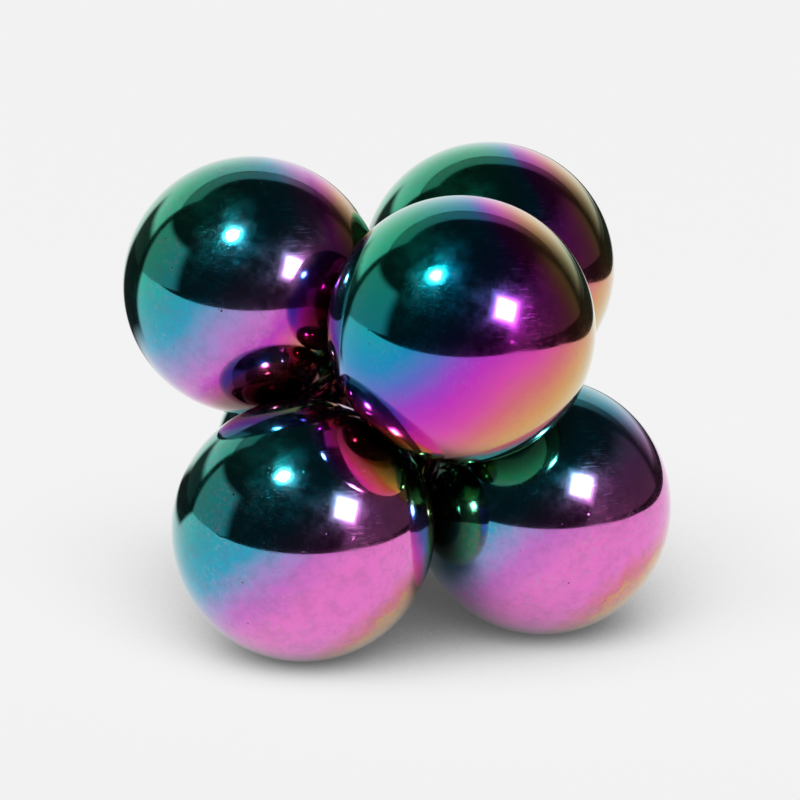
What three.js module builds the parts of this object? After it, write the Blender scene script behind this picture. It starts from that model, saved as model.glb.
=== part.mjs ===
// A set of six equal magnetic balls, stuck together as an octahedron: a ring of three balls on the table, and a
// second ring of three, turned by sixty degrees, that sits in the hollows of the first.
// Millimetres, +Z up. The origin is on the table, under the middle of the stack, and the front is towards -Y.
import * as THREE from "three";

// Driving dimensions
const BALL_DIAMETER = 33;
const CONTACT_GAP = 0.1; // stands for the plating's give where two balls touch

// Facets round and down each ball. Both poles are vertices, so a base ball stands on its lowest point.
const FACETS_ROUND = 32;
const FACETS_DOWN = 20;

// Packing of equal balls, all from the distance between the centres of two that touch
const BALL_RADIUS = BALL_DIAMETER / 2;
const CENTRE_SPACING = BALL_DIAMETER + CONTACT_GAP;
const RING_RADIUS = CENTRE_SPACING / Math.sqrt(3);
const LAYER_RISE = CENTRE_SPACING * Math.sqrt(2 / 3);

// Each ring's name, the height of its ball centres, and the bearing of each ball, anticlockwise from +X in degrees
const RINGS = [
  { name: "base", height: BALL_RADIUS, bearings: { back: 90, left: 210, right: 330 } },
  { name: "top", height: BALL_RADIUS + LAYER_RISE, bearings: { right: 30, left: 150, front: 270 } },
];

// Sintered ferrite under a mirror-polished, rainbow-coloured vapour plating
const PLATING = { color: 0x8a4fb0, metalness: 1, roughness: 0.08 };

/** One solid ball about its own centre, with its poles up and down. */
function makeBall(name) {
  const geometry = new THREE.SphereGeometry(BALL_RADIUS, FACETS_ROUND, FACETS_DOWN);
  geometry.rotateX(Math.PI / 2);
  const ball = new THREE.Mesh(geometry, new THREE.MeshStandardMaterial(PLATING));
  ball.name = name;
  return ball;
}

/** A level ring of balls that touch each other, each on its own bearing from the ring's axis. */
function makeRing({ name, height, bearings }) {
  const ring = new THREE.Group();
  ring.position.z = height;
  for (const [place, bearing] of Object.entries(bearings)) {
    const angle = THREE.MathUtils.degToRad(bearing);
    const ball = makeBall(`${name}_ball_${place}`);
    ball.position.set(RING_RADIUS * Math.cos(angle), RING_RADIUS * Math.sin(angle), 0);
    ring.add(ball);
  }
  return ring;
}

const ballSet = new THREE.Group();
ballSet.add(...RINGS.map(makeRing));

export default ballSet;
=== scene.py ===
"""Looks for a stack of six rainbow plated magnetic balls.

Three balls lie on the table as a triangle, and three more nest on them. Every ball is a finely
divided, slightly imperfect form of its own with its own plating, in place of one CAD ball.
"""

import logging
import math
from dataclasses import dataclass
from enum import Enum
from typing import NamedTuple

import bmesh
import bpy
import numpy as np
from mathutils import Matrix, Vector


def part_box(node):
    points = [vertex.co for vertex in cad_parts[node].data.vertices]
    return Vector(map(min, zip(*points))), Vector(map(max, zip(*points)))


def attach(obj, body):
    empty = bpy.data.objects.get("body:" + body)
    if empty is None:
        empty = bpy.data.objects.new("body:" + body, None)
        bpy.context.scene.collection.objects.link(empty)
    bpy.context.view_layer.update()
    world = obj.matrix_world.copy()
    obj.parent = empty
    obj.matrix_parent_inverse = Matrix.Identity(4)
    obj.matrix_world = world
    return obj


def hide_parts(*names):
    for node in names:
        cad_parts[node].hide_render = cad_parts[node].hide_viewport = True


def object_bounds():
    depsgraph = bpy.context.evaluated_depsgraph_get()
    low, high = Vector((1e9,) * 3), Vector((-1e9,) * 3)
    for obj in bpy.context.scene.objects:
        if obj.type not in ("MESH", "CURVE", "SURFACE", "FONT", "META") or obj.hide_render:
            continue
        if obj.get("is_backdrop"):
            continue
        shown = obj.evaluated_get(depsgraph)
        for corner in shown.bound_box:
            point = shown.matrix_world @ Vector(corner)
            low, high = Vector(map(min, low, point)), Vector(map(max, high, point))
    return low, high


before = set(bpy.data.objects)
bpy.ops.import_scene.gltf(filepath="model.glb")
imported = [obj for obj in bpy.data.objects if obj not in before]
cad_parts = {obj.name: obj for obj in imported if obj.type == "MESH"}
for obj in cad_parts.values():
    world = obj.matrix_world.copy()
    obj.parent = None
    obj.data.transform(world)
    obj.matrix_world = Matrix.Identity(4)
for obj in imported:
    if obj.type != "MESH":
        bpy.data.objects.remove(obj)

LOG = logging.getLogger("ball_stack")
MM = 0.001
RAMP_SPREAD = 0.25
RAMP_MIDDLE = 0.5

BALL_NODES = ("base_ball_back", "base_ball_left", "base_ball_right",
              "top_ball_right", "top_ball_left", "top_ball_front")

Number = int | float
Colour = tuple[float, float, float]
Direction = tuple[float, float, float]
Socket = bpy.types.NodeSocket


class Noise(NamedTuple):
    """How fine a noise is, how many octaves it has, and how much the fine ones weigh."""

    scale: float
    detail: float = 2.0
    roughness: float = 0.5


class Turn(NamedTuple):
    """A smooth turn: the marks where it starts and ends, and the levels before and after it."""

    start: Socket | Number
    end: Socket | Number
    low: Number = 0.0
    high: Number = 1.0

    def times(self, factor: float) -> "Turn":
        """Multiply both levels."""
        return Turn(self.start, self.end, self.low * factor, self.high * factor)


class Graph:
    """A small hand for wiring one shader node tree."""

    def __init__(self, tree: bpy.types.NodeTree) -> None:
        """Take a node tree and empty it.

        Args:
            tree: The node tree of a material, a world or a lamp.
        """
        self.tree = tree
        tree.nodes.clear()

    def node(self, kind: str, **settings: object) -> bpy.types.Node:
        """Add a node and set its plain properties.

        Args:
            kind: The node's type name.
            settings: Properties to set on it.

        Returns:
            The new node.
        """
        made = self.tree.nodes.new(kind)
        for name, value in settings.items():
            setattr(made, name, value)
        return made

    def feed(self, socket: Socket, value: Socket | Number | tuple | Vector) -> None:
        """Put a value on an input socket, or link an output to it.

        Args:
            socket: The input socket.
            value: An output socket, a number, or a vector.
        """
        if isinstance(value, bpy.types.NodeSocket):
            self.tree.links.new(value, socket)
        else:
            socket.default_value = value

    def maths(self, operation: str, first: Socket | Number, second: Socket | Number = 0.0) -> Socket:
        """Work out a sum on one or two numbers.

        Args:
            operation: The Math node's operation.
            first: The first number.
            second: The second number.

        Returns:
            The result.
        """
        made = self.node("ShaderNodeMath", operation=operation)
        self.feed(made.inputs[0], first)
        self.feed(made.inputs[1], second)
        return made.outputs[0]

    def vector(self, operation: str, first: Socket, second: tuple | Vector | Socket) -> Socket:
        """Work on one or two vectors.

        Args:
            operation: The Vector Math node's operation.
            first: The first vector.
            second: The second vector.

        Returns:
            The vector, or the number for a dot product.
        """
        made = self.node("ShaderNodeVectorMath", operation=operation)
        self.feed(made.inputs[0], first)
        self.feed(made.inputs[1], second)
        return made.outputs["Value" if operation == "DOT_PRODUCT" else "Vector"]

    def step(self, value: Socket, turn: Turn) -> Socket:
        """Turn a number smoothly from one level to another between two marks.

        Args:
            value: The number.
            turn: The marks and the levels.

        Returns:
            The level.
        """
        made = self.node("ShaderNodeMapRange", interpolation_type="SMOOTHSTEP")
        for socket, item in zip(made.inputs, (value, *turn)):
            self.feed(socket, item)
        return made.outputs["Result"]

    def cloud(self, place: Socket, noise: Noise) -> Socket:
        """Sample soft noise about a half.

        Args:
            place: Where to sample.
            noise: The noise.

        Returns:
            The noise, from 0 to 1.
        """
        made = self.node("ShaderNodeTexNoise")
        self.feed(made.inputs["Vector"], place)
        made.inputs["Scale"].default_value = noise.scale
        made.inputs["Detail"].default_value = noise.detail
        made.inputs["Roughness"].default_value = noise.roughness
        return made.outputs["Fac"]

    def blend(self, share: Socket | Number, first: Socket | Colour, second: Socket | Colour) -> Socket:
        """Mix two colours.

        Args:
            share: How much of the second one.
            first: The first colour.
            second: The second colour.

        Returns:
            The mixed colour.
        """
        made = self.node("ShaderNodeMix", data_type="RGBA")
        self.feed(made.inputs[0], share)
        for socket, item in ((made.inputs[6], first), (made.inputs[7], second)):
            self.feed(socket, (*item, 1.0) if isinstance(item, tuple) else item)
        return made.outputs[2]

    def scaled_sum(self, value: Socket, factor: float, offset: float) -> Socket:
        """Multiply a number and add to it.

        Args:
            value: The number.
            factor: What it is multiplied by.
            offset: What is added.

        Returns:
            The result.
        """
        made = self.node("ShaderNodeMath", operation="MULTIPLY_ADD")
        for socket, item in zip(made.inputs, (value, factor, offset)):
            self.feed(socket, item)
        return made.outputs[0]

    def most(self, values: list[Socket]) -> Socket:
        """Take the largest of some numbers.

        Args:
            values: The numbers, one or more.

        Returns:
            The largest.
        """
        largest = values[0]
        for value in values[1:]:
            largest = self.maths("MAXIMUM", largest, value)
        return largest

    def product(self, *values: Socket | Number) -> Socket:
        """Multiply some numbers.

        Args:
            values: The numbers, two or more.

        Returns:
            The product.
        """
        result = values[0]
        for value in values[1:]:
            result = self.maths("MULTIPLY", result, value)
        return result

    def mixed_shader(self, share: Socket, first: Socket, second: Socket) -> Socket:
        """Mix two shaders.

        Args:
            share: How much of the second one.
            first: The first shader.
            second: The second shader.

        Returns:
            The mixed shader.
        """
        made = self.node("ShaderNodeMixShader")
        for socket, item in zip(made.inputs, (share, first, second)):
            self.feed(socket, item)
        return made.outputs[0]

    def finish(self, kind: str, surface: Socket) -> None:
        """Put a shader on the tree's output.

        Args:
            kind: The output node's type name.
            surface: The shader.
        """
        self.feed(self.node(kind).inputs["Surface"], surface)


class FilmColour(Enum):
    """The colours that the plating's film runs through, from its thick side to its thin side."""

    GREEN = (0.004, 0.49, 0.26)
    TEAL = (0.0, 0.375, 0.44)
    SKY = (0.012, 0.37, 0.57)
    BLUE = (0.0, 0.27, 0.56)
    PERIWINKLE = (0.13, 0.14, 0.61)
    HEATHER = (0.37, 0.26, 0.64)
    PURPLE = (0.37, 0.05, 0.61)
    LILAC = (0.61, 0.16, 0.62)
    MAGENTA = (0.56, 0.03, 0.54)
    ORCHID = (0.84, 0.18, 0.61)
    PINK = (0.73, 0.065, 0.42)
    SALMON = (0.71, 0.15, 0.20)
    GOLD = (0.69, 0.33, 0.09)
    STRAW = (0.62, 0.50, 0.16)
    LEAF = (0.25, 0.50, 0.14)


@dataclass(frozen=True)
class FilmOrder:
    """Where each colour lies along one ball's film, from -1 on its thick side to 1 on its thin side."""

    axis: Direction
    bands: tuple[tuple[FilmColour, float], ...]
    thinning: float = 0.0

    def stops(self) -> list[tuple[float, Colour]]:
        """List the colours in order.

        Returns:
            Pairs of a place from 0 to 1 and a colour.
        """
        return [(place * RAMP_SPREAD + RAMP_MIDDLE, shade.value) for shade, place in self.bands]


@dataclass(frozen=True)
class PlatedFinish:
    """Mirror bright plating with a coloured film, hairline wipe marks, faint haze and small pits."""

    film: FilmOrder
    paleness: float
    haze: float
    gloss: float
    mottle: float
    seed: int
    radius: float
    touch_shift: float
    touches: tuple[Vector, ...]
    thin_side: Direction = (0.66, -0.19, 0.70)
    thin_turn: Turn = Turn(0.62, 1.0)
    touch_turn: Turn = Turn(0.66, 0.95)
    # Painted shade where neighbouring balls touch: how near a neighbour it starts, and how strong it gets.
    contact_shade_turn: Turn = Turn(0.80, 0.97, 0.0, 0.75)
    seed_step: Direction = (3.1, 1.7, -2.3)
    broad_noise: Noise = Noise(1.1, 1.0)
    broad_wobble: float = 0.22
    fine_noise: Noise = Noise(7.0, 8.0, 0.72)
    pale_noise: Noise = Noise(3.0, 6.0, 0.65)
    pale_turn: Turn = Turn(0.3, 0.75, 0.6, 1.4)
    dust_noise: Noise = Noise(34.0, 3.0, 0.7)
    dust_turn: Turn = Turn(0.50, 0.66, 0.0, 1.3)
    patch_noise: Noise = Noise(2.6, 4.0, 0.6)
    patch_turn: Turn = Turn(0.42, 0.60)
    stain_noise: Noise = Noise(9.0, 9.0, 0.75)
    stain_turn: Turn = Turn(0.42, 0.66, 0.0, 0.95)
    smear_noise: Noise = Noise(3.4, 8.0, 0.70)
    smear_turn: Turn = Turn(0.38, 0.66, 0.35, 1.9)
    peel_noise: Noise = Noise(45.0, 3.0, 0.6)
    mirror_roughness: Turn = Turn(0.35, 0.75, 0.05, 0.10)
    glow_roughness: Turn = Turn(0.3, 0.7, 0.15, 0.20)
    haze_roughness: Turn = Turn(0.3, 0.7, 0.28, 0.38)
    haze_in_glow: Turn = Turn(0.3, 0.8, 0.20, 0.40)
    mark_haze: float = 0.35
    pale_colour: Colour = (0.80, 0.72, 0.80)
    stain_colour: Colour = (0.16, 0.10, 0.22)
    dust_colour: Colour = (0.42, 0.36, 0.46)
    # Near-black colour of the painted shade between touching balls.
    contact_shade_colour: Colour = (0.05, 0.02, 0.03)
    pit_colour: Colour = (0.012, 0.010, 0.016)
    pit_strength: float = 0.85
    pit_cells: float = 11.0
    pit_share: float = 0.9
    pit_fade: float = 0.02
    pit_size: float = 0.05
    pit_spread: float = 0.08
    pit_core: float = 0.4
    mark_turns: tuple[Direction, ...] = ((0.3, 0.8, 0.2), (1.3, 0.2, 2.2), (2.2, 1.9, 0.9))
    mark_stretch: Direction = (1.6, 70.0, 70.0)
    mark_noise: Noise = Noise(1.0, 1.0)
    mark_turn: Turn = Turn(0.62, 0.70)
    mark_patch_turn: Turn = Turn(0.48, 0.62)
    peel_height: float = 0.05
    mark_depth: float = 0.06
    relief_strength: float = 0.35
    relief_height: float = 0.04 * MM
    coat_roughness: float = 0.03

    def material(self, name: str) -> bpy.types.Material:
        """Make the plating for one ball.

        Args:
            name: The material's name.

        Returns:
            The material.
        """
        made = bpy.data.materials.new(name)
        made.use_nodes = True
        graph = Graph(made.node_tree)
        spot = self._spot(graph)
        marks = self._wipe_marks(graph, spot)
        pits = self._pits(graph, spot)
        colour = self._weathered(graph, spot, self._film_colour(graph, spot), pits)
        relief = self._relief(graph, spot, marks, pits)
        smear = graph.cloud(spot, self.smear_noise)
        mirror = self._lobe(graph, colour, relief, graph.step(smear, self.mirror_roughness))
        glow = self._lobe(graph, colour, relief, graph.step(smear, self.glow_roughness))
        haze = self._lobe(graph, colour, relief, graph.step(smear, self.haze_roughness))
        veil = graph.mixed_shader(graph.step(smear, self.haze_in_glow), glow, haze)
        smeared = graph.step(smear, self.smear_turn.times(self.haze))
        share = graph.maths("ADD", smeared, graph.product(marks, self.mark_haze))
        graph.finish("ShaderNodeOutputMaterial", graph.mixed_shader(share, mirror, veil))
        return made

    def _spot(self, graph: Graph) -> Socket:
        """Find the place on the ball.

        Args:
            graph: The material's graph.

        Returns:
            The place, in ball radii from the ball's middle.
        """
        coordinates = graph.node("ShaderNodeTexCoord")
        scale = 1.0 / self.radius
        return graph.vector("MULTIPLY", coordinates.outputs["Object"], (scale, scale, scale))

    def _shifted(self, graph: Graph, spot: Socket) -> Socket:
        """Move the noise on, so that no two balls are alike."""
        return graph.vector("ADD", spot, tuple(part * self.seed for part in self.seed_step))

    def _film_colour(self, graph: Graph, spot: Socket) -> Socket:
        """Colour the film by its thickness.

        Args:
            graph: The material's graph.
            spot: The place on the ball.

        Returns:
            The film's colour.
        """
        shifted = self._shifted(graph, spot)
        along = graph.vector("DOT_PRODUCT", spot, Vector(self.film.axis).normalized())
        broad = graph.maths("SUBTRACT", graph.cloud(shifted, self.broad_noise), 0.5)
        fine = graph.maths("SUBTRACT", graph.cloud(shifted, self.fine_noise), 0.5)
        wobble = graph.maths("ADD", graph.product(broad, self.broad_wobble), graph.product(fine, self.mottle))
        thinned = graph.maths("ADD", graph.maths("ADD", along, wobble), self._thinning(graph, spot))
        ramp = graph.node("ShaderNodeValToRGB")
        stops = self.film.stops()
        band = ramp.color_ramp
        band.interpolation = "LINEAR"
        for element, (mark, shade) in zip(list(band.elements), (stops[0], stops[-1])):
            element.position = mark
            element.color = (*shade, 1.0)
        for mark, shade in stops[1:-1]:
            band.elements.new(mark).color = (*shade, 1.0)
        graph.feed(ramp.inputs[0], graph.scaled_sum(thinned, RAMP_SPREAD, RAMP_MIDDLE))
        return ramp.outputs["Color"]

    def _weathered(self, graph: Graph, spot: Socket, film: Socket, pits: Socket) -> Socket:
        """Age the film with pale clouds, stains, dust and pits, and paint shade on it near the touching
        neighbours.

        Args:
            graph: The material's graph.
            spot: The place on the ball.
            film: The film's colour.
            pits: The pits.

        Returns:
            The plating's colour.
        """
        shifted = self._shifted(graph, spot)
        pale = graph.step(graph.cloud(shifted, self.pale_noise), self.pale_turn.times(self.paleness))
        stain = graph.step(graph.cloud(shifted, self.stain_noise), self.stain_turn.times(self.mottle))
        dust = graph.step(graph.cloud(shifted, self.dust_noise), self.dust_turn.times(self.mottle))
        patches = graph.step(graph.cloud(shifted, self.patch_noise), self.patch_turn)
        colour = graph.blend(pale, film, self.pale_colour)
        colour = graph.blend(stain, colour, self.stain_colour)
        colour = graph.blend(graph.product(dust, patches), colour, self.dust_colour)
        # Painted shade: the film darkens to near black close to each touching neighbour, standing in for the
        # shade between the balls.
        colour = graph.blend(self._near_touches(graph, spot, self.contact_shade_turn), colour, self.contact_shade_colour)
        return graph.blend(graph.product(pits, self.pit_strength), colour, self.pit_colour)

    def _near_touches(self, graph: Graph, spot: Socket, turn: Turn) -> Socket:
        """Say how near the closest touching neighbour is.

        Args:
            graph: The material's graph.
            spot: The place on the ball.
            turn: How nearness becomes a level.

        Returns:
            The level.
        """
        nearness = [graph.vector("DOT_PRODUCT", spot, touch) for touch in self.touches]
        return graph.most([graph.step(near, turn) for near in nearness])

    def _thinning(self, graph: Graph, spot: Socket) -> Socket:
        """Thin the film on one upper side and where the neighbours shade it.

        Args:
            graph: The material's graph.
            spot: The place on the ball.

        Returns:
            How far the film's colour moves on.
        """
        upward = graph.vector("DOT_PRODUCT", spot, Vector(self.thin_side).normalized())
        side = graph.step(upward, self.thin_turn.times(self.film.thinning))
        shaded = self._near_touches(graph, spot, self.touch_turn.times(self.touch_shift))
        return graph.maths("MAXIMUM", side, shaded)

    def _wipe_marks(self, graph: Graph, spot: Socket) -> Socket:
        """Draw hairline wipe marks in three directions.

        Args:
            graph: The material's graph.
            spot: The place on the ball.

        Returns:
            The marks, from 0 to 1.
        """
        parts = []
        for index, turned in enumerate(self.mark_turns):
            mapped = graph.node("ShaderNodeMapping")
            graph.feed(mapped.inputs["Vector"], spot)
            mapped.inputs["Rotation"].default_value = turned
            mapped.inputs["Location"].default_value = (self.seed, index, 2.0 * index)
            mapped.inputs["Scale"].default_value = self.mark_stretch
            hair = graph.step(graph.cloud(mapped.outputs[0], self.mark_noise), self.mark_turn)
            patch = graph.step(graph.cloud(spot, Noise(2.0 + index)), self.mark_patch_turn)
            parts.append(graph.product(hair, patch))
        return graph.most(parts)

    def _pits(self, graph: Graph, spot: Socket) -> Socket:
        """Scatter tiny dark pits.

        Args:
            graph: The material's graph.
            spot: The place on the ball.

        Returns:
            The pits, from 0 to 1.
        """
        cells = graph.node("ShaderNodeTexVoronoi")
        graph.feed(cells.inputs["Vector"], graph.vector("ADD", spot, (self.seed, 0.0, 0.0)))
        cells.inputs["Scale"].default_value = self.pit_cells
        chosen = graph.node("ShaderNodeSeparateColor")
        graph.feed(chosen.inputs[0], cells.outputs["Color"])
        rare = 1.0 - self.pit_share * self.mottle
        few = graph.step(chosen.outputs[0], Turn(rare, rare + self.pit_fade))
        size = graph.scaled_sum(chosen.outputs[1], self.pit_spread, self.pit_size)
        core = graph.product(size, self.pit_core)
        small = graph.step(cells.outputs["Distance"], Turn(core, size, 1.0, 0.0))
        return graph.product(few, small)

    def _relief(self, graph: Graph, spot: Socket, marks: Socket, pits: Socket) -> Socket:
        """Raise and sink the surface a little.

        Args:
            graph: The material's graph.
            spot: The place on the ball.
            marks: The wipe marks.
            pits: The pits.

        Returns:
            The bumped normal.
        """
        peel = graph.product(graph.cloud(spot, self.peel_noise), self.peel_height)
        sunk = graph.maths("ADD", graph.product(marks, self.mark_depth), pits)
        bump = graph.node("ShaderNodeBump")
        bump.inputs["Strength"].default_value = self.relief_strength
        bump.inputs["Distance"].default_value = self.relief_height
        graph.feed(bump.inputs["Height"], graph.maths("SUBTRACT", peel, sunk))
        return bump.outputs["Normal"]

    def _lobe(self, graph: Graph, colour: Socket, normal: Socket, roughness: Socket) -> Socket:
        """Make one metal reflection.

        Args:
            graph: The material's graph.
            colour: The reflected colour.
            normal: The bumped normal.
            roughness: How wide the reflection spreads.

        Returns:
            The shader.
        """
        metal = graph.node("ShaderNodeBsdfPrincipled")
        metal.inputs["Metallic"].default_value = 1.0
        metal.inputs["Coat Weight"].default_value = 1.0
        metal.inputs["Coat Roughness"].default_value = self.coat_roughness
        metal.inputs["Coat IOR"].default_value = self.gloss
        graph.feed(metal.inputs["Base Color"], colour)
        graph.feed(metal.inputs["Roughness"], roughness)
        graph.feed(metal.inputs["Normal"], normal)
        return metal.outputs[0]


@dataclass
class Ball:
    """One magnetic ball: a fine ball form with small form errors and dents, and its own plating."""

    node: str
    film: FilmOrder
    paleness: float
    haze: float
    gloss: float
    mottle: float
    touch_shift: float
    seed: int
    squares: int = 72
    contact_growth: float = 0.04 * MM
    form_error: float = 0.004 * MM
    dents: int = 9
    dent_radius: float = 0.75 * MM
    dent_depth: float = 0.012 * MM
    form_waves: int = 6
    wave_rate: float = 2.2
    touching: float = 2.1

    def middle(self) -> Vector:
        """Give the ball's middle in the shared frame."""
        low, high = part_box(self.node)
        return (low + high) / 2.0

    def radius(self) -> float:
        """Give the finished radius, grown until neighbours touch."""
        low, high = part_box(self.node)
        return (high.z - low.z) / 2.0 + self.contact_growth

    def touches(self) -> tuple[Vector, ...]:
        """Give the directions of the balls that touch this one.

        Returns:
            The directions, each one long.
        """
        found = []
        for other in BALL_NODES:
            low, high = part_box(other)
            gap = (low + high) / 2.0 - self.middle()
            if 0.0 < gap.length < self.touching * self.radius():
                found.append(gap.normalized())
        return tuple(found)

    def mesh(self) -> bpy.types.Mesh:
        """Build the ball form from a divided cube blown round.

        Returns:
            The mesh, about its own middle.
        """
        corners, faces = self._divided_cube()
        points = self._blown_round(corners)
        made = bpy.data.meshes.new(self.node + "_plated")
        made.from_pydata(points.tolist(), [], faces.tolist())
        form = bmesh.new()
        form.from_mesh(made)
        bmesh.ops.recalc_face_normals(form, faces=form.faces[:])
        form.to_mesh(made)
        form.free()
        made.shade_smooth()
        return made

    def _divided_cube(self) -> tuple[np.ndarray, np.ndarray]:
        """Divide the six sides of a cube into squares that share their edge points.

        Returns:
            The points, each coordinate from -1 to 1, and the four points of every square.
        """
        steps = self.squares
        first, second = np.meshgrid(np.arange(steps + 1), np.arange(steps + 1), indexing="ij")
        lattice = []
        squares = []
        for side in range(6):
            grid = np.empty((steps + 1, steps + 1, 3), int)
            grid[..., side % 3] = steps if side < 3 else 0
            grid[..., (side + 1) % 3] = first
            grid[..., (side + 2) % 3] = second
            number = np.arange((steps + 1) ** 2).reshape(steps + 1, steps + 1) + side * (steps + 1) ** 2
            ring = (number[:-1, :-1], number[1:, :-1], number[1:, 1:], number[:-1, 1:])
            lattice.append(grid.reshape(-1, 3))
            squares.append(np.stack([part.ravel() for part in ring], axis=1))
        points, kept = np.unique(np.concatenate(lattice), axis=0, return_inverse=True)
        return points * 2.0 / steps - 1.0, kept.reshape(-1)[np.concatenate(squares)]

    def _blown_round(self, corners: np.ndarray) -> np.ndarray:
        """Move the cube's points out to the ball's surface, with its form errors and dents.

        Args:
            corners: The points on the cube.

        Returns:
            The points on the ball.
        """
        chance = np.random.default_rng(self.seed)
        spread = np.tan(corners * math.pi / 4.0)
        ways = spread / np.linalg.norm(spread, axis=1, keepdims=True)
        reach = np.full(len(ways), self.radius())
        for _ in range(self.form_waves):
            wave = chance.normal(size=3) * self.wave_rate
            reach += self.form_error / self.form_waves * np.sin(ways @ wave + chance.uniform(0.0, 6.0))
        for _ in range(self.dents):
            heading = chance.normal(size=3)
            heading /= np.linalg.norm(heading)
            size = self.dent_radius * chance.uniform(0.5, 1.0)
            depth = self.dent_depth * chance.uniform(0.5, 1.0)
            apart = np.linalg.norm(ways - heading, axis=1) * self.radius()
            bowl = 0.5 * (1.0 + np.cos(math.pi * np.clip(apart / size, 0.0, 1.0)))
            reach -= depth * bowl
        return ways * reach[:, None]

    def build(self) -> bpy.types.Object:
        """Build the ball, plate it and hang it on its body.

        Returns:
            The ball.
        """
        finish = PlatedFinish(film=self.film, paleness=self.paleness, haze=self.haze, gloss=self.gloss,
                              mottle=self.mottle, seed=self.seed, radius=self.radius(),
                              touch_shift=self.touch_shift, touches=self.touches())
        made = bpy.data.objects.new(self.node + "_plated", self.mesh())
        made.data.materials.append(finish.material(self.node + "_plating"))
        bpy.context.scene.collection.objects.link(made)
        made.location = self.middle()
        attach(made, self.node)
        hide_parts(self.node)
        return made


@dataclass
class BallStack:
    """The six balls, each with the way its film runs."""

    def balls(self) -> list[Ball]:
        """List the balls from the table up.

        Returns:
            The balls.
        """
        hue = FilmColour
        low_film = FilmOrder((0.58, -0.38, -0.72), (
            (hue.GREEN, -1.1), (hue.TEAL, -0.50), (hue.SKY, -0.22), (hue.HEATHER, -0.01), (hue.LILAC, 0.13),
            (hue.ORCHID, 0.36), (hue.ORCHID, 0.68), (hue.SALMON, 0.82), (hue.GOLD, 0.87), (hue.STRAW, 1.15)))
        left_film = FilmOrder((0.72, -0.30, -0.65), (
            (hue.GREEN, -0.92), (hue.TEAL, -0.52), (hue.SKY, -0.29), (hue.HEATHER, -0.04), (hue.LILAC, 0.15),
            (hue.MAGENTA, 0.26), (hue.PINK, 0.36), (hue.SALMON, 0.47), (hue.GOLD, 0.60),
            (hue.STRAW, 0.84)), thinning=0.55)
        right_film = FilmOrder((0.80, -0.12, -0.55), (
            (hue.GREEN, -0.75), (hue.TEAL, -0.48), (hue.BLUE, -0.28), (hue.PURPLE, -0.12),
            (hue.MAGENTA, 0.05), (hue.PINK, 0.25), (hue.SALMON, 0.45), (hue.GOLD, 0.62),
            (hue.STRAW, 0.85), (hue.LEAF, 1.05)), thinning=0.75)
        front_film = FilmOrder((0.755, 0.015, -0.67), (
            (hue.GREEN, -1.0), (hue.TEAL, -0.80), (hue.BLUE, -0.60), (hue.PERIWINKLE, -0.44),
            (hue.PURPLE, -0.30), (hue.MAGENTA, -0.16), (hue.PINK, 0.05), (hue.SALMON, 0.24),
            (hue.GOLD, 0.48), (hue.STRAW, 0.74), (hue.LEAF, 0.98)), thinning=0.80)
        low = {"film": low_film, "paleness": 0.01, "haze": 0.09, "gloss": 1.25, "mottle": 0.26}
        return [
            Ball("base_ball_back", touch_shift=1.0, seed=11, **low),
            Ball("base_ball_left", touch_shift=1.05, seed=12, **low),
            Ball("base_ball_right", touch_shift=0.0, seed=13, **low),
            Ball("top_ball_right", film=right_film, paleness=0.01, haze=0.09, gloss=1.25, mottle=0.12,
                 touch_shift=0.3, seed=14),
            Ball("top_ball_left", film=left_film, paleness=0.01, haze=0.11, gloss=1.25, mottle=0.24,
                 touch_shift=0.1, seed=15),
            Ball("top_ball_front", film=front_film, paleness=0.0, haze=0.11, gloss=1.20, mottle=0.08,
                 touch_shift=0.45, seed=16),
        ]

    def build(self) -> None:
        """Build and report every ball."""
        for ball in self.balls():
            made = ball.build()
            LOG.info("built %s with %d faces", made.name, len(made.data.polygons))


@dataclass
class CameraStand:
    """Where the camera stands and how it looks at the stack."""

    azimuth: float = -23.44
    elevation: float = 15.39
    roll: float = 1.58
    distance: float = 503.1 * MM
    lens: float = 176.5
    sensor_width: float = 36.0
    nearest: float = 0.01
    aim_right: float = 0.31 * MM
    aim_down: float = 0.53 * MM

    def level_right(self) -> Vector:
        """Give the direction to the right, level with the table."""
        turn = math.radians(self.azimuth)
        return Vector((math.cos(turn), math.sin(turn), 0.0))

    def level_ahead(self) -> Vector:
        """Give the direction away from the camera, level with the table."""
        turn = math.radians(self.azimuth)
        return Vector((-math.sin(turn), math.cos(turn), 0.0))

    def build(self, middle: Vector) -> bpy.types.Object:
        """Put up the camera.

        Args:
            middle: The middle of the stack.

        Returns:
            The camera.
        """
        target = middle + self.level_right() * self.aim_right - Vector((0.0, 0.0, self.aim_down))
        tilt = math.radians(self.elevation)
        ahead = self.level_ahead() * math.cos(tilt) - Vector((0.0, 0.0, math.sin(tilt)))
        right = self.level_right()
        up = right.cross(ahead)
        lean = math.radians(self.roll)
        tilted_up = up * math.cos(lean) - right * math.sin(lean)
        tilted_right = right * math.cos(lean) + up * math.sin(lean)
        turned = Matrix((tilted_right, tilted_up, -ahead)).transposed()
        data = bpy.data.cameras.new("camera")
        data.lens = self.lens
        data.sensor_width = self.sensor_width
        data.clip_start = self.nearest
        made = bpy.data.objects.new("camera", data)
        made.matrix_world = Matrix.Translation(target - ahead * self.distance) @ turned.to_4x4()
        bpy.context.scene.collection.objects.link(made)
        bpy.context.scene.camera = made
        return made


@dataclass
class Lamp:
    """A lamp that shows in the plating only, placed by its metres to the right, ahead and up."""

    name: str
    place: Direction
    size: float
    brightness: float
    shape: str = "DISK"
    spin: float = 0.0


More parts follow.
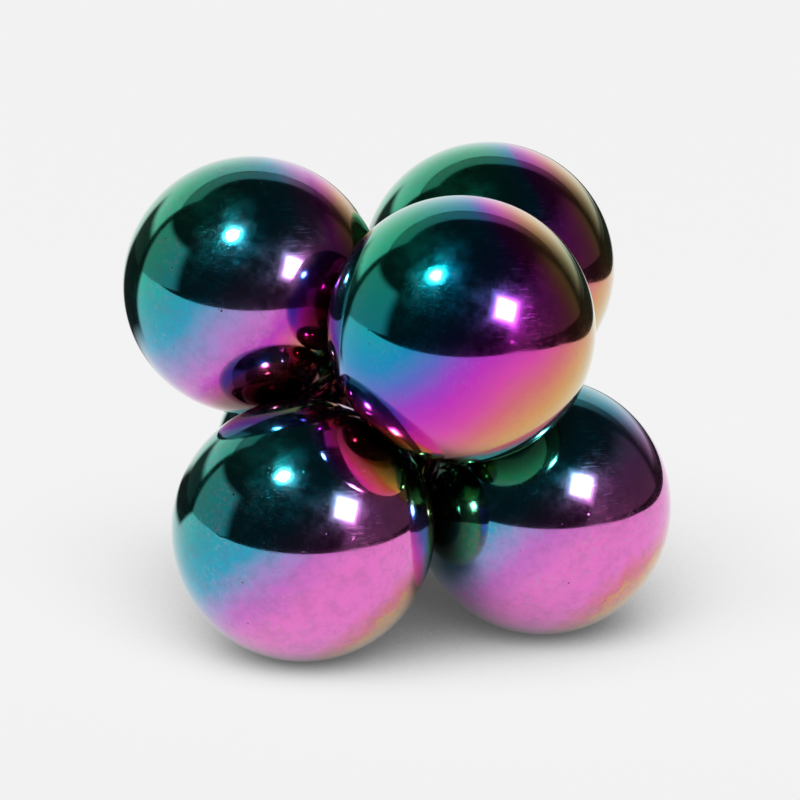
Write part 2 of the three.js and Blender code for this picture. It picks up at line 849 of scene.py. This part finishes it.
@dataclass(frozen=True)
class Table:
    """Where the white table ends, and how its shade is painted."""

    front: float = -0.31
    right: float = 0.33
    edge: float = 0.01
    corner_start: Turn = Turn(0.06, 0.14)
    card_start: Turn = Turn(0.08, 0.12)
    half: float = 6.0
    sink: float = 0.05 * MM
    shade_samples: int = 16
    shade_reach: float = 0.5
    light_up: float = 0.72
    light_near: float = 0.68
    light_left: float = 0.13
    shade_curve: tuple[tuple[float, float], ...] = (
        (0.0, 0.02), (1.0, 1.0), (0.30, 0.14), (0.45, 0.33), (0.60, 0.64), (0.74, 0.90), (0.85, 1.0))


@dataclass(frozen=True)
class Backdrop:
    """The white sheet behind the table, in degrees across and up."""

    top: float = 57.0
    droop: Turn = Turn(-5.0, 10.0, 0.0017, 0.010)
    sheet: Turn = Turn(-42.0, -16.0, 1.0, 0.75)
    band: Turn = Turn(-14.0, -11.0, 1.0, 0.38)
    end: Turn = Turn(-2.0, 2.0, 1.0, 0.0)
    seam_below_top: float = -12.5
    seam: Turn = Turn(0.48, 1.6, 0.6, 0.0)
    left_side: Turn = Turn(-61.0, -57.0)
    right_side: Turn = Turn(14.0, 54.0, 1.0, 0.02)
    low_right_side: Turn = Turn(12.0, 26.0)
    low_right_top: Turn = Turn(2.0, 7.0, 0.85, 0.0)


@dataclass(frozen=True)
class Panel:
    """An upright panel, by its left edge, its right edge and its top, in degrees."""

    left: Turn
    right: Turn
    top: Turn

    def across(self, graph: Graph, turn: Socket) -> Socket:
        """Say where the panel stands across."""
        return graph.product(graph.step(turn, self.left), graph.step(turn, self.right))

    def level(self, graph: Graph, turn: Socket, height: Socket) -> Socket:
        """Give the panel's level at a direction."""
        return graph.product(self.across(graph, turn), graph.step(height, self.top))


DARK_CARD = Panel(Turn(-69.0, -64.0), Turn(-34.0, -26.0, 1.0, 0.0), Turn(12.0, 19.0, 0.95, 0.0))
LEFT_PANEL = Panel(Turn(-118.0, -104.0), Turn(-68.0, -64.0, 1.0, 0.0), Turn(28.0, 34.0, 0.38, 0.0))
RIGHT_WALL = Panel(Turn(50.0, 60.0), Turn(120.0, 150.0, 1.0, 0.0), Turn(25.0, 50.0, 0.075, 0.0))


@dataclass
class Studio:
    """A white table, a white backdrop and two soft lamps in a dark room."""

    stand: CameraStand
    table: Table = Table()
    backdrop: Backdrop = Backdrop()
    white: float = 0.887
    room: float = 0.015
    lamp_plateau: float = 0.08
    lamp_edge: float = 0.52
    lamp_fall: float = -2.8
    lamp_corner: float = 0.12

    def build(self, target: Vector) -> None:
        """Put up the floor, the surround and the lamps.

        Args:
            target: The middle of the stack.
        """
        self._floor()
        self._surround()
        for lamp in (
            Lamp("key_lamp", (-0.090, -0.138, 0.268), size=0.090, brightness=320.0),
            Lamp("side_lamp", (0.177, -0.211, 0.175), size=0.150, brightness=130.0,
                 shape="SQUARE", spin=1.08),
            Lamp("low_glint", (0.205, -0.235, 0.055), size=0.007, brightness=50.0),
        ):
            self._lamp(lamp, target)

    def _floor(self) -> None:
        """Lay the floor just under the balls."""
        form = bmesh.new()
        half = self.table.half
        corners = ((-half, -half), (half, -half), (half, half), (-half, half))
        form.faces.new([form.verts.new((x, y, -self.table.sink)) for x, y in corners])
        mesh = bpy.data.meshes.new("floor")
        form.to_mesh(mesh)
        form.free()
        floor = bpy.data.objects.new("floor", mesh)
        bpy.context.scene.collection.objects.link(floor)
        mesh.materials.append(self._floor_material())
        floor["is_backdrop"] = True

    def _floor_material(self) -> bpy.types.Material:
        """Make the floor's paint: pale to the eye, and dark in the plating beyond the table's edges.

        Returns:
            The material.
        """
        made = bpy.data.materials.new("pale_floor")
        made.use_nodes = True
        graph = Graph(made.node_tree)
        white = self._white(graph, "ShaderNodeEmission", graph.product(self._shade(graph), self.white))
        dark = self._white(graph, "ShaderNodeEmission", self.room)
        path = graph.node("ShaderNodeLightPath")
        share = graph.product(self._beyond_table(graph), path.outputs["Is Glossy Ray"])
        graph.finish("ShaderNodeOutputMaterial", graph.mixed_shader(share, white, dark))
        return made

    def _beyond_table(self, graph: Graph) -> Socket:
        """Say where the floor is past the table's edges or behind the dark card.

        Args:
            graph: The floor's graph.

        Returns:
            The mask, from 0 to 1.
        """
        place = graph.node("ShaderNodeTexCoord").outputs["Object"]
        across = graph.vector("DOT_PRODUCT", place, self.stand.level_right())
        ahead = graph.vector("DOT_PRODUCT", place, self.stand.level_ahead())
        table = self.table
        past_right = Turn(table.right - table.edge, table.right + table.edge)
        front = graph.step(ahead, Turn(table.front - table.edge, table.front + table.edge, 1.0, 0.0))
        right = graph.step(across, past_right)
        corner = graph.step(graph.maths("ADD", across, ahead), past_right)
        corner = graph.product(corner, graph.step(across, table.corner_start))
        turn = graph.maths("DEGREES", graph.maths("ARCTAN2", across, ahead))
        reach = graph.maths("SQRT", graph.vector("DOT_PRODUCT", place, place))
        card = graph.product(DARK_CARD.across(graph, turn), graph.step(reach, table.card_start))
        return graph.most([front, right, corner, card])

    def _shade(self, graph: Graph) -> Socket:
        """Shade the floor by how open it is towards the light.

        Args:
            graph: The floor's graph.

        Returns:
            The light that reaches each place, from 0 to 1.
        """
        table = self.table
        way = Vector((0.0, 0.0, table.light_up)) - self.stand.level_ahead() * table.light_near
        way -= self.stand.level_right() * table.light_left
        tilt = graph.node("ShaderNodeCombineXYZ")
        for socket, value in zip(tilt.inputs, way.normalized()):
            graph.feed(socket, value)
        openness = graph.node("ShaderNodeAmbientOcclusion", samples=table.shade_samples)
        openness.inputs["Distance"].default_value = table.shade_reach
        graph.feed(openness.inputs["Normal"], tilt.outputs[0])
        shade = graph.node("ShaderNodeFloatCurve")
        curve = shade.mapping.curves[0]
        for point, place in zip(curve.points, table.shade_curve):
            point.location = place
        for place in table.shade_curve[2:]:
            curve.points.new(*place)
        shade.mapping.update()
        graph.feed(shade.inputs["Value"], openness.outputs["AO"])
        return shade.outputs[0]

    def _white(self, graph: Graph, kind: str, strength: Socket | Number) -> Socket:
        """Make a white glow of one strength.

        Args:
            graph: The material's or the world's graph.
            kind: The glowing node's type name.
            strength: How strong it is.

        Returns:
            The shader.
        """
        made = graph.node(kind)
        made.inputs["Color"].default_value = (1.0, 1.0, 1.0, 1.0)
        graph.feed(made.inputs["Strength"], strength)
        return made.outputs[0]

    def _surround(self) -> None:
        """Make the surround: even and pale to the eye, a dark studio in the plating."""
        world = bpy.data.worlds.new("studio")
        bpy.context.scene.world = world
        world.use_nodes = True
        world.cycles.sampling_method = "NONE"
        graph = Graph(world.node_tree)
        heading = graph.node("ShaderNodeTexCoord").outputs["Generated"]
        across = graph.vector("DOT_PRODUCT", heading, self.stand.level_right())
        ahead = graph.vector("DOT_PRODUCT", heading, self.stand.level_ahead())
        rise = graph.vector("DOT_PRODUCT", heading, (0.0, 0.0, 1.0))
        turn = graph.maths("DEGREES", graph.maths("ARCTAN2", across, ahead))
        height = graph.maths("DEGREES", graph.maths("ARCSINE", rise))
        left = LEFT_PANEL.level(graph, turn, height)
        right = RIGHT_WALL.level(graph, turn, height)
        level = graph.most([self._backdrop(graph, turn, height), left, right])
        seen = self._white(graph, "ShaderNodeBackground", self.white)
        mirrored = self._white(graph, "ShaderNodeBackground", graph.maths("MAXIMUM", level, self.room))
        path = graph.node("ShaderNodeLightPath")
        surround = graph.mixed_shader(path.outputs["Is Camera Ray"], mirrored, seen)
        graph.finish("ShaderNodeOutputWorld", surround)

    def _backdrop(self, graph: Graph, turn: Socket, height: Socket) -> Socket:
        """Hang the white backdrop behind the table, with a seam near its top and a dark card on its left.

        Args:
            graph: The world's graph.
            turn: Degrees to the right of straight behind.
            height: Degrees above the table.

        Returns:
            The brightness.
        """
        hung = self.backdrop
        bend = graph.product(turn, turn, graph.step(turn, hung.droop))
        above = graph.maths("ADD", graph.maths("SUBTRACT", height, hung.top), bend)
        apart = graph.maths("ABSOLUTE", graph.maths("SUBTRACT", above, hung.seam_below_top))
        seam = graph.maths("SUBTRACT", 1.0, graph.step(apart, hung.seam))
        sheet, band, end = (graph.step(above, part) for part in (hung.sheet, hung.band, hung.end))
        low_right = graph.product(graph.step(turn, hung.low_right_side),
                                  graph.step(height, hung.low_right_top))
        sides = graph.product(graph.step(turn, hung.left_side), graph.step(turn, hung.right_side),
                              graph.maths("SUBTRACT", 1.0, low_right))
        card = graph.maths("SUBTRACT", 1.0, DARK_CARD.level(graph, turn, height))
        return graph.product(sheet, band, end, seam, sides, card, self.white)

    def _lamp(self, lamp: Lamp, target: Vector) -> None:
        """Put up a soft lamp facing the stack.

        Args:
            lamp: The lamp.
            target: The middle of the stack.
        """
        across, ahead, up = lamp.place
        place = self.stand.level_right() * across + self.stand.level_ahead() * ahead + Vector((0.0, 0.0, up))
        data = bpy.data.lights.new(lamp.name, "AREA")
        data.shape = lamp.shape
        data.size = lamp.size
        area = math.pi * (lamp.size / 2.0) ** 2 if lamp.shape == "DISK" else lamp.size ** 2
        data.energy = lamp.brightness * math.pi * area
        self._soft_edge(data)
        made = bpy.data.objects.new(lamp.name, data)
        aim = (target - place).to_track_quat("-Z", "Y").to_matrix().to_4x4()
        made.matrix_world = Matrix.Translation(place) @ aim @ Matrix.Rotation(lamp.spin, 4, "Z")
        made.visible_camera = False
        made.visible_diffuse = False
        bpy.context.scene.collection.objects.link(made)

    def _soft_edge(self, data: bpy.types.Light) -> None:
        """Fade a lamp towards its edge.

        Args:
            data: The lamp.
        """
        data.use_nodes = True
        graph = Graph(data.node_tree)
        place = graph.node("ShaderNodeNewGeometry").outputs["Parametric"]
        spot = graph.vector("SUBTRACT", place, (0.5, 0.5, 0.0))
        away = graph.maths("SQRT", graph.vector("DOT_PRODUCT", spot, spot))
        if data.shape == "SQUARE":
            sides = graph.node("ShaderNodeSeparateXYZ")
            graph.feed(sides.inputs[0], graph.vector("ABSOLUTE", spot, (0.0, 0.0, 0.0)))
            away = graph.maths("SMOOTH_MAX", sides.outputs[0], sides.outputs[1])
            away.node.inputs[2].default_value = self.lamp_corner
        glow = graph.node("ShaderNodeEmission")
        fall = graph.step(away, Turn(self.lamp_plateau, self.lamp_edge, 0.0, self.lamp_fall))
        graph.feed(glow.inputs["Strength"], graph.maths("POWER", 10.0, fall))
        graph.finish("ShaderNodeOutputLight", glow.outputs[0])


def main() -> None:
    """Build the whole scene in order."""
    logging.basicConfig(level=logging.INFO, format="%(name)s: %(message)s")
    cad_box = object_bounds()
    target = (Vector(cad_box[0]) + Vector(cad_box[1])) / 2.0
    target.x = 0.0
    target.y = 0.0
    bpy.context.scene.view_settings.view_transform = "Standard"
    stand = CameraStand()
    stand.build(target)
    LOG.info("camera stands %.0f mm from the stack", stand.distance / MM)
    Studio(stand).build(target)
    LOG.info("studio is lit")
    BallStack().build()


if __name__ == "__main__":
    main()
